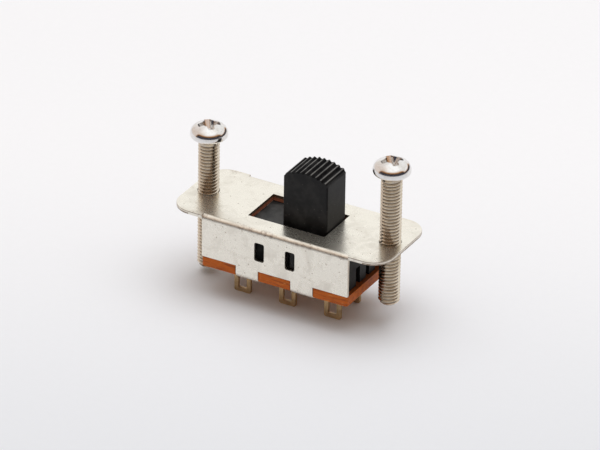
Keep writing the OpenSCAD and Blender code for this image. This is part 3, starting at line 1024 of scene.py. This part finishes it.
def add_threaded_shank(bm, centre, tip, top, sizes):
    """Adds a thread, closed at its tip, that ends in a round neck.

    Returns the neck's open rim.
    """
    pitch = sizes.thread_pitch
    turns = math.ceil((top - tip) / pitch) + 2
    spin_profile(
        bm, thread_profile(centre, tip - pitch, sizes), centre, sizes.thread_steps,
        turns, pitch,
    )
    on_plane = 1e-8
    for height, side in ((top, {"clear_outer": True}), (tip, {"clear_inner": True})):
        bmesh.ops.bisect_plane(
            bm, geom=bm.verts[:] + bm.edges[:] + bm.faces[:], dist=on_plane,
            plane_co=(0, 0, height), plane_no=(0, 0, 1), **side,
        )
    fade = top - sizes.neck_length
    for vert in bm.verts:
        arm = Vector((vert.co.x - centre.x, vert.co.y - centre.y))
        reach = arm.length
        limit = sizes.thread_radius - sizes.tip_chamfer + (vert.co.z - tip)
        neck = min(1.0, max(0.0, (vert.co.z - fade + pitch) / pitch))
        wanted = min(reach, limit) * (1 - neck) + sizes.neck_radius * neck
        if reach > WELD:
            arm *= wanted / reach
            vert.co.x, vert.co.y = centre.x + arm.x, centre.y + arm.y
    rim = [e for e in bm.edges if e.is_boundary]
    foot = [e for e in rim if all(abs(v.co.z - tip) < WELD for v in e.verts)]
    bmesh.ops.contextual_create(bm, geom=foot)
    return [e for e in rim if all(abs(v.co.z - top) < WELD for v in e.verts)]


def head_profile(centre, under, radius, sizes):
    """The pan head's outline, from the neck round the side to the axis."""
    height, middle = sizes.head_height, sizes.head_middle
    side, low = sizes.head_side, sizes.head_under
    side_x = radius - side
    rise = middle - height
    dome = (side ** 2 - side_x ** 2 - rise ** 2) / (2 * (side + rise))
    dome_z = height - dome
    meet = math.degrees(math.atan2(middle - dome_z, side_x))
    outline = [(sizes.neck_radius, 0.0), ((sizes.neck_radius + radius) / 2, 0.0)]
    outline += arc((radius - low, low), low, -90, 0, steps=6)
    outline += arc((side_x, middle), side, 0, meet, steps=14)
    outline += arc((0.0, dome_z), dome, meet, 90, steps=12)[1:-1] + [(0.0, height)]
    return [(centre.x + r, centre.y, under + z) for r, z in outline]


def add_head(bm, centre, under, radius, sizes):
    """Adds the pan head, open at its neck. Returns the open rim."""
    head = bmesh.new()
    spin_profile(
        head, head_profile(centre, under, radius, sizes), centre, sizes.head_steps
    )
    mesh = bpy.data.meshes.new("head")
    head.to_mesh(mesh)
    head.free()
    known = set(bm.edges)
    bm.from_mesh(mesh)
    bpy.data.meshes.remove(mesh)
    return [e for e in bm.edges if e not in known and e.is_boundary]


# The cutter of the cross recess stands proud of the head by CUTTER_LIFT of the
# recess's depth. At its foot and at its top, its wings have these shares of the
# recess's reach and width, and its core these shares of the core's reach. The core
# is a little taller and turned, so that it shares no face or edge with the wings.
CUTTER_LIFT = 0.3
WING_FOOT, WING_TOP = (0.43, 0.80), (1.17, 1.10)
WING_ROUND = 0.22
CORE_FOOT, CORE_TOP = 0.41, 1.21
CORE_TALL = 1.12
CORE_TURN = math.radians(4)


def recess_cutter(centre, top, turn, sizes):
    """The tapered wings and core that cut the cross recess, in one mesh."""
    tall = (1 + CUTTER_LIFT) * sizes.recess_depth
    cutter = bpy.data.meshes.new("recess")
    whole = bmesh.new()
    for quarter in (0, math.pi / 2):
        bm = bmesh.new()
        bmesh.ops.create_cube(bm, size=1.0)
        for vert in bm.verts:
            reach, width = WING_FOOT if vert.co.z < 0 else WING_TOP
            vert.co.x *= 2 * reach * sizes.recess_reach
            vert.co.y *= width * sizes.recess_width
            vert.co.z *= tall
        corners = [
            e for e in bm.edges
            if abs(e.verts[0].co.x - e.verts[1].co.x) < sizes.recess_reach
            and e.verts[0].co.z * e.verts[1].co.z < 0
        ]
        bmesh.ops.bevel(
            bm, geom=corners, offset=WING_ROUND * sizes.recess_width,
            offset_type="OFFSET", segments=4, profile=0.5, affect="EDGES",
            material=-1,
        )
        bmesh.ops.rotate(
            bm, verts=bm.verts, matrix=Matrix.Rotation(turn + quarter, 3, "Z")
        )
        bm.to_mesh(cutter)
        bm.free()
        whole.from_mesh(cutter)
    bmesh.ops.create_cone(
        whole, cap_ends=True, segments=32, radius1=CORE_FOOT * sizes.recess_core,
        radius2=CORE_TOP * sizes.recess_core, depth=CORE_TALL * tall,
        matrix=Matrix.Rotation(turn + CORE_TURN, 4, "Z"),
    )
    bmesh.ops.translate(
        whole, verts=whole.verts,
        vec=(centre.x, centre.y, top - sizes.recess_depth + tall / 2),
    )
    whole.to_mesh(cutter)
    whole.free()
    return cutter


def carve(bm, cutter):
    """Cuts the cutter's overlapping shells out of a bmesh, and frees the cutter."""
    scene = bpy.context.scene
    mesh = bpy.data.meshes.new("whole")
    bm.to_mesh(mesh)
    body = bpy.data.objects.new("carved", mesh)
    tool = bpy.data.objects.new("cutter", cutter)
    for item in (body, tool):
        scene.collection.objects.link(item)
    modifier = body.modifiers.new("Cut", "BOOLEAN")
    modifier.operation, modifier.solver = "DIFFERENCE", "EXACT"
    modifier.object, modifier.use_self = tool, True
    depsgraph = bpy.context.evaluated_depsgraph_get()
    depsgraph.update()
    carved = bpy.data.meshes.new_from_object(body.evaluated_get(depsgraph))
    top = max(vert.co.z for vert in mesh.vertices)
    reach = max((vert.co.z for vert in carved.vertices), default=math.inf)
    if reach >= top:
        raise RuntimeError("the recess could not be cut")
    bm.clear()
    bm.from_mesh(carved)
    for spare in (body, tool):
        bpy.data.objects.remove(spare)
    for spare in (mesh, cutter, carved):
        bpy.data.meshes.remove(spare)


class SWITCH_OT_screws(Operator):
    """Builds both threaded screws with their cross-recessed pan heads"""

    bl_idname = "switch.build_screws"
    bl_label = "Screws"

    def execute(self, context):
        sizes, colours, _ = settings()
        low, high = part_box("screw_right")
        spread = round((low.x + high.x) / 2, 4)
        radius, gap = high.x - spread, 20 * WELD
        materials = [nickel_plate(colours), nickel_thread(sizes, colours, spread)]
        for node, turn in zip(SCREWS, (sizes.left_turn, sizes.right_turn)):
            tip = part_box(node)[0]
            centre = Vector((math.copysign(spread, tip.x), 0.0))
            under = tip.z + sizes.screw_length
            bm = bmesh.new()
            rim = add_threaded_shank(bm, centre, tip.z, under - gap, sizes)
            for face in bm.faces:
                face.material_index = 1
            rim += add_head(bm, centre, under, radius, sizes)
            bmesh.ops.bridge_loops(bm, edges=rim)
            bmesh.ops.recalc_face_normals(bm, faces=bm.faces)
            carve(bm, recess_cutter(centre, under + sizes.head_height, turn, sizes))
            make_piece(
                "threaded_" + node, bm, materials, "case", node
            )
        return {"FINISHED"}


# ---------------------------------------------------------------- slider and inside


class SWITCH_OT_slider(Operator):
    """Builds the moulded slider with its ribbed grip"""

    bl_idname = "switch.build_slider"
    bl_label = "Slider"

    def execute(self, context):
        sizes, colours, _ = settings()
        rounded_piece(
            "slider", "ribbed_slider", black_plastic(sizes, colours),
            "slider", sizes.moulded_round, convex_only=True,
        )
        return {"FINISHED"}


class SWITCH_OT_inner(Operator):
    """Gives the liner, clips, plungers and spring their finishes"""

    bl_idname = "switch.finish_inner_parts"
    bl_label = "Liner and inner parts"

    def execute(self, context):
        colours = settings()[1]
        for finish, nodes in (
            (vulcanised_fibre(colours), ("liner",)),
            (contact_bronze(colours), ("contact_clip_front", "contact_clip_rear")),
            (plunger_plastic(colours), ("detent_plunger_front", "detent_plunger_rear")),
            (spring_steel(colours), ("detent_spring",)),
        ):
            for node in nodes:
                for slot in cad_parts[node].material_slots:
                    slot.material = finish
        return {"FINISHED"}


# ---------------------------------------------------------------- stage


def direction(turn, lift):
    """The way that is turned to the right from the front, and lifted from level."""
    return Vector((
        math.sin(turn) * math.cos(lift), -math.cos(turn) * math.cos(lift),
        math.sin(lift),
    ))


def build_floor(studio):
    """A pale floor, seen only from above, with painted shade that darkens it towards
    the camera.
    """
    bm = bmesh.new()
    bmesh.ops.create_grid(bm, x_segments=2, y_segments=2, size=studio.floor_size)
    mesh = bpy.data.meshes.new("studio_floor")
    bm.to_mesh(mesh)
    bm.free()
    floor = bpy.data.objects.new("studio_floor", mesh)
    bpy.context.scene.collection.objects.link(floor)
    material, tree, shader, vector = new_material("Pale floor", specular=0.1)
    shader.inputs["Roughness"].default_value = 0.9
    # Painted shade: the floor turns from its far colour to the darker near one towards
    # the camera.
    reach = agreement(tree, vector, -direction(studio.azimuth, 0.0))
    near_until, far_from = -0.07, 0.05
    far = remap(tree, reach, near_until, far_from)
    shade = blend(tree, far, studio.floor_near_shaded, studio.floor)
    grain = remap(tree, noise(tree, vector, 900.0), 0.3, 0.7, 0.0, 0.02)
    shade = blend(tree, grain, shade, studio.floor_grain)
    tree.links.new(shade, shader.inputs["Base Color"])
    under = put(tree, "ShaderNodeNewGeometry").outputs["Backfacing"]
    clear = put(tree, "ShaderNodeBsdfTransparent")
    seen = put(
        tree, "ShaderNodeMixShader",
        {0: under, 1: shader.outputs[0], 2: clear.outputs[0]},
    )
    tree.links.new(seen.outputs[0], tree.nodes["Material Output"].inputs["Surface"])
    mesh.materials.append(material)


def reflected_tint(tree, studio, facing, height):
    """The colour that metal shows of a direction.

    It is pale, but dark on the camera's side, low on the right and a little on the
    left.
    """
    front = times(
        tree, remap(tree, facing(0, 0), 0.02, 0.30),
        remap(tree, height, 0.30, 0.90, 1.0, 0.0),
    )
    low_right = times(
        tree, remap(tree, facing(80, 0), 0.25, 0.55),
        remap(tree, height, 0.20, 0.40, 1.0, 0.0),
    )
    left = remap(tree, facing(-95, 15), 0.3, 0.9, 0.0, 0.16)
    ramp = put(tree, "ShaderNodeValToRGB", {0: most(tree, front, low_right, left)})
    stops = ramp.color_ramp.elements
    stops[0].color, stops[1].color = studio.bright, studio.flag
    for darkness, tint in ((0.45, studio.amber), (0.75, studio.brown)):
        stops.new(darkness).color = tint
    return ramp.outputs[0]


def build_world(studio):
    """Plain pale surroundings, which metal reflects darker on the camera's side."""
    world = bpy.data.worlds.new("Studio")
    world.use_nodes = True
    tree = world.node_tree
    tree.nodes.clear()
    way = put(tree, "ShaderNodeTexCoord").outputs["Generated"]
    height = split(tree, way)[2]

    def facing(turn, lift):
        """How far a direction agrees with one turned and lifted from the camera's."""
        turn, lift = math.radians(turn), math.radians(lift)
        return agreement(tree, way, direction(studio.azimuth + turn, lift))

    path = put(tree, "ShaderNodeLightPath").outputs
    reflected = path["Is Glossy Ray"]
    seen = most(tree, path["Is Camera Ray"], path["Is Transmission Ray"])
    horizon = most(
        tree, remap(tree, height, 0.1, 0.95, 1.0, 0.0),
        remap(tree, facing(20, 0), 0.2, 0.9, 0.0, 0.5),
    )
    tint = blend(
        tree, reflected, blend(tree, horizon, studio.sky_tint, studio.low_tint),
        reflected_tint(tree, studio, facing, height),
    )
    overhead = remap(tree, facing(-20, 86), 0.80, 0.93, 1.0, studio.overhead)
    level = blend_numbers(tree, reflected, studio.sky, overhead)
    light = put(tree, "ShaderNodeBackground", {
        "Color": blend(tree, seen, tint, WHITE),
        "Strength": blend_numbers(tree, seen, level, studio.backdrop),
    })
    result = put(tree, "ShaderNodeOutputWorld")
    tree.links.new(light.outputs[0], result.inputs["Surface"])
    bpy.context.scene.world = world


def build_lamp(studio):
    """The large square soft lamp, which faces the switch."""
    lamp = bpy.data.lights.new("Key lamp", "AREA")
    lamp.shape, lamp.size = "SQUARE", studio.key_size
    lamp.energy, lamp.color = studio.key_power, studio.key_tint[:3]
    holder = bpy.data.objects.new("Key lamp", lamp)
    bpy.context.scene.collection.objects.link(holder)
    holder.location = studio.key_place
    holder.visible_glossy = False
    holder.rotation_mode = "QUATERNION"
    holder.rotation_quaternion = (-Vector(studio.key_place)).to_track_quat("-Z", "Y")


def build_camera(studio):
    """The camera, aimed at the switch."""
    back = direction(studio.azimuth, studio.elevation)
    right = Vector((math.cos(studio.azimuth), math.sin(studio.azimuth), 0.0))
    level = Matrix((right, back.cross(right), back)).transposed()
    data = bpy.data.cameras.new("Camera")
    data.sensor_width, data.lens = 36.0, studio.focal_length
    data.clip_start, data.clip_end = 0.01, 20.0
    camera = bpy.data.objects.new("Camera", data)
    bpy.context.scene.collection.objects.link(camera)
    pose = (level @ Matrix.Rotation(studio.roll, 3, "Z")).to_4x4()
    pose.translation = Vector(studio.aim) + back * studio.distance
    camera.matrix_world = pose
    bpy.context.scene.camera = camera


class SWITCH_OT_stage(Operator):
    """Builds the floor, the surroundings, the lamp and the camera"""

    bl_idname = "switch.build_stage"
    bl_label = "Stage"

    def execute(self, context):
        studio = settings()[2]
        for build in (build_floor, build_world, build_lamp, build_camera):
            build(studio)
        context.scene.view_settings.view_transform = "Standard"
        return {"FINISHED"}


# ---------------------------------------------------------------- add-on


class VIEW3D_PT_slide_switch(Panel):
    """Sidebar panel with the switch's settings and pieces"""

    bl_label = "Slide switch"
    bl_space_type = "VIEW_3D"
    bl_region_type = "UI"
    bl_category = "Slide switch"

    def draw(self, context):
        layout = self.layout
        for kind in BUILDERS:
            layout.operator(kind.bl_idname, text=kind.bl_label)
        for label, group in zip(("Sizes", "Colours", "Studio"), settings()):
            layout.label(text=label)
            for name in type(group).__annotations__:
                layout.prop(group, name)


BUILDERS = (
    SWITCH_OT_frame,
    SWITCH_OT_board,
    SWITCH_OT_lugs,
    SWITCH_OT_screws,
    SWITCH_OT_slider,
    SWITCH_OT_inner,
    SWITCH_OT_stage,
)
GROUPS = {
    "switch_sizes": SwitchSizes,
    "switch_colours": SwitchColours,
    "switch_studio": StudioSettings,
}


def register():
    """Registers the settings, the operators and the panel."""
    for kind in (*GROUPS.values(), *BUILDERS, VIEW3D_PT_slide_switch):
        bpy.utils.register_class(kind)
    for name, kind in GROUPS.items():
        setattr(bpy.types.Scene, name, PointerProperty(type=kind))


def unregister():
    """Takes away what register() added."""
    for name in GROUPS:
        delattr(bpy.types.Scene, name)
    for kind in reversed((*GROUPS.values(), *BUILDERS, VIEW3D_PT_slide_switch)):
        bpy.utils.unregister_class(kind)


def main():
    """Builds every piece and the stage."""
    register()
    for step in (
        bpy.ops.switch.build_frame,
        bpy.ops.switch.build_board,
        bpy.ops.switch.build_lugs,
        bpy.ops.switch.build_screws,
        bpy.ops.switch.build_slider,
        bpy.ops.switch.finish_inner_parts,
        bpy.ops.switch.build_stage,
    ):
        step()


if __name__ == "__main__":
    main()
